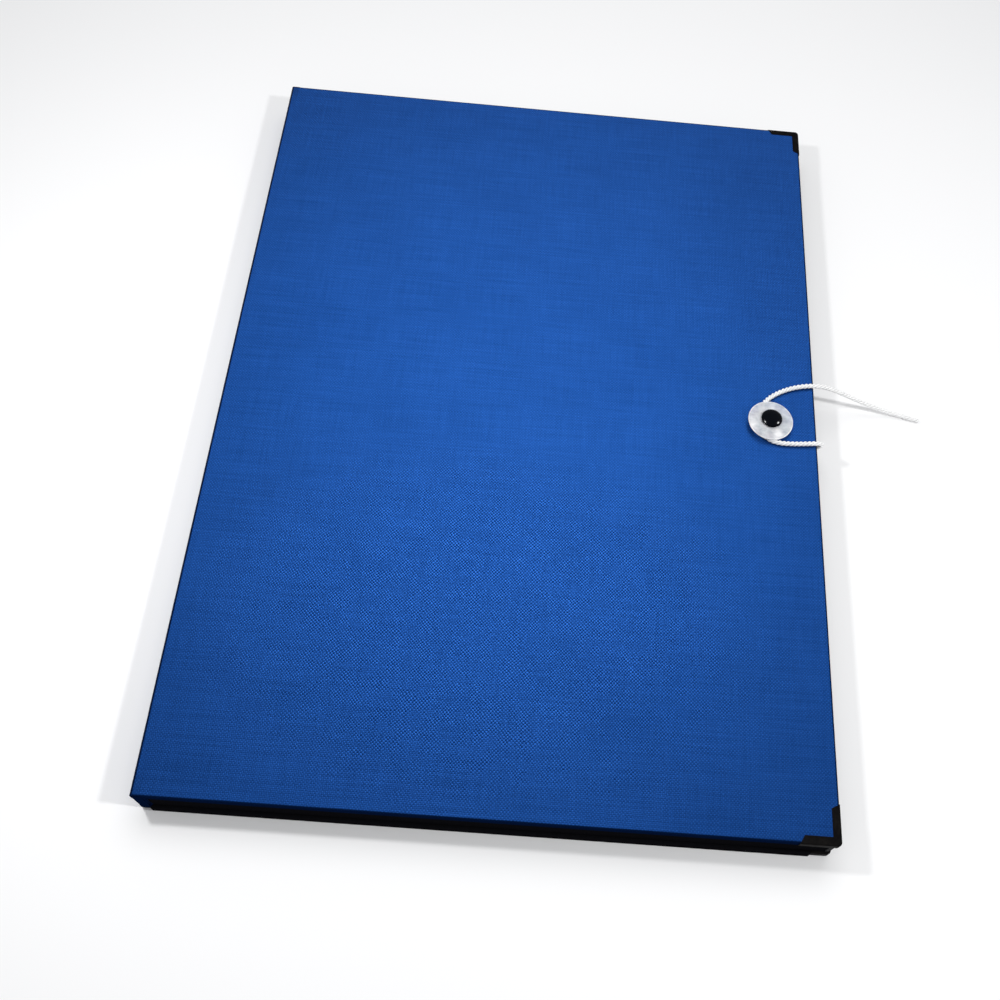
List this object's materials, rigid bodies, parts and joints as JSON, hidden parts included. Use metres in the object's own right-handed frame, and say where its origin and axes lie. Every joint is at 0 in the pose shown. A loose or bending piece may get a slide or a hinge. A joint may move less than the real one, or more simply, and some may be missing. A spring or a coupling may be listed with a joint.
{
  "type": "drawing portfolio",
  "caption": "Flat cloth-covered portfolio for drawings with metal corners, a string-and-washer button at the fore edge and folding inner flaps.",
  "frame": {"origin": "centre of the face of the back cover that the portfolio lies on", "axes": "+X from the spine to the fore edge, +Y from the tail to the head, +Z from the back cover to the front cover"},
  "size_m": [0.278, 0.323, 0.0203],
  "materials": {
    "greyboard": "matte",
    "blue_linen": "woven linen book cloth",
    "black_lining": "matte",
    "black_metal": "satin black lacquer",
    "black_rivet": "gloss black lacquer",
    "pearl_washer": "translucent, pearly",
    "white_cord": "twisted cord",
    "black_hinge_cloth": "woven book cloth",
    "black_card": "matte, dyed through"
  },
  "bodies": {
    "back_cover": {"back_board": "greyboard", "back_cloth": "blue_linen", "back_lining": "black_lining", "back_head_corner": "black_metal", "back_tail_corner": "black_metal", "head_gusset_base": "black_hinge_cloth", "tail_gusset_base": "black_hinge_cloth", "fore_gusset_base": "black_hinge_cloth", "cord_anchor": "white_cord", "cord": "white_cord"},
    "spine": {"spine_board": "greyboard", "spine_cloth": "blue_linen", "spine_lining": "black_lining"},
    "front_cover": {"front_board": "greyboard", "front_cloth": "blue_linen", "front_lining": "black_lining", "front_head_corner": "black_metal", "front_tail_corner": "black_metal", "rivet_cap": "black_rivet", "rivet_base": "black_rivet"},
    "washer": {"washer": "pearl_washer"},
    "head_gusset": {"head_gusset_cloth": "black_hinge_cloth", "head_gusset_strip": "black_card"},
    "head_flap": {"head_flap_cloth": "black_hinge_cloth", "head_flap_card": "black_card"},
    "tail_gusset": {"tail_gusset_cloth": "black_hinge_cloth", "tail_gusset_strip": "black_card"},
    "tail_flap": {"tail_flap_cloth": "black_hinge_cloth", "tail_flap_card": "black_card"},
    "fore_gusset": {"fore_gusset_cloth": "black_hinge_cloth", "fore_gusset_strip": "black_card"},
    "fore_flap": {"fore_flap_cloth": "black_hinge_cloth", "fore_flap_card": "black_card"}
  },
  "joints": [
    {"name": "spine_fold", "type": "hinge", "parent": "back_cover", "child": "spine", "pos_m": [-0.11478, 0, 0.00047], "axis": [0, -1, 0], "range_deg": [0, 89.4], "deforming": ["cord"]},
    {"name": "cover_fold", "type": "hinge", "parent": "spine", "child": "front_cover", "pos_m": [-0.11478, 0, 0.01553], "axis": [0, -1, 0], "range_deg": [0, 89.4]},
    {"name": "washer_spin", "type": "hinge", "parent": "front_cover", "child": "washer", "pos_m": [0.09635, 0.0013, 0.0179], "axis": [0, 0, 1], "continuous": true},
    {"name": "head_gusset_fold", "type": "hinge", "parent": "back_cover", "child": "head_gusset", "pos_m": [0, 0.1602, 0.00365], "axis": [-1, 0, 0], "range_deg": [0, 89.4]},
    {"name": "head_flap_fold", "type": "hinge", "parent": "head_gusset", "child": "head_flap", "pos_m": [0, 0.1602, 0.0116], "axis": [-1, 0, 0], "range_deg": [0, 89.4]},
    {"name": "tail_gusset_fold", "type": "hinge", "parent": "back_cover", "child": "tail_gusset", "pos_m": [0, -0.1602, 0.00365], "axis": [1, 0, 0], "range_deg": [0, 89.4]},
    {"name": "tail_flap_fold", "type": "hinge", "parent": "tail_gusset", "child": "tail_flap", "pos_m": [0, -0.1602, 0.0116], "axis": [1, 0, 0], "range_deg": [0, 89.4]},
    {"name": "fore_gusset_fold", "type": "hinge", "parent": "back_cover", "child": "fore_gusset", "pos_m": [0.11395, 0, 0.00365], "axis": [0, 1, 0], "range_deg": [0, 89.4]},
    {"name": "fore_flap_fold", "type": "hinge", "parent": "fore_gusset", "child": "fore_flap", "pos_m": [0.11395, 0, 0.0116], "axis": [0, 1, 0], "range_deg": [0, 89.4]}
  ],
  "couplings": [
    {"joint": "cover_fold", "follows": "spine_fold", "ratio": 1},
    {"joint": "head_gusset_fold", "follows": "spine_fold", "ratio": 1},
    {"joint": "head_flap_fold", "follows": "spine_fold", "ratio": 1},
    {"joint": "tail_gusset_fold", "follows": "spine_fold", "ratio": 1},
    {"joint": "tail_flap_fold", "follows": "spine_fold", "ratio": 1},
    {"joint": "fore_gusset_fold", "follows": "spine_fold", "ratio": 1},
    {"joint": "fore_flap_fold", "follows": "spine_fold", "ratio": 1}
  ]
}
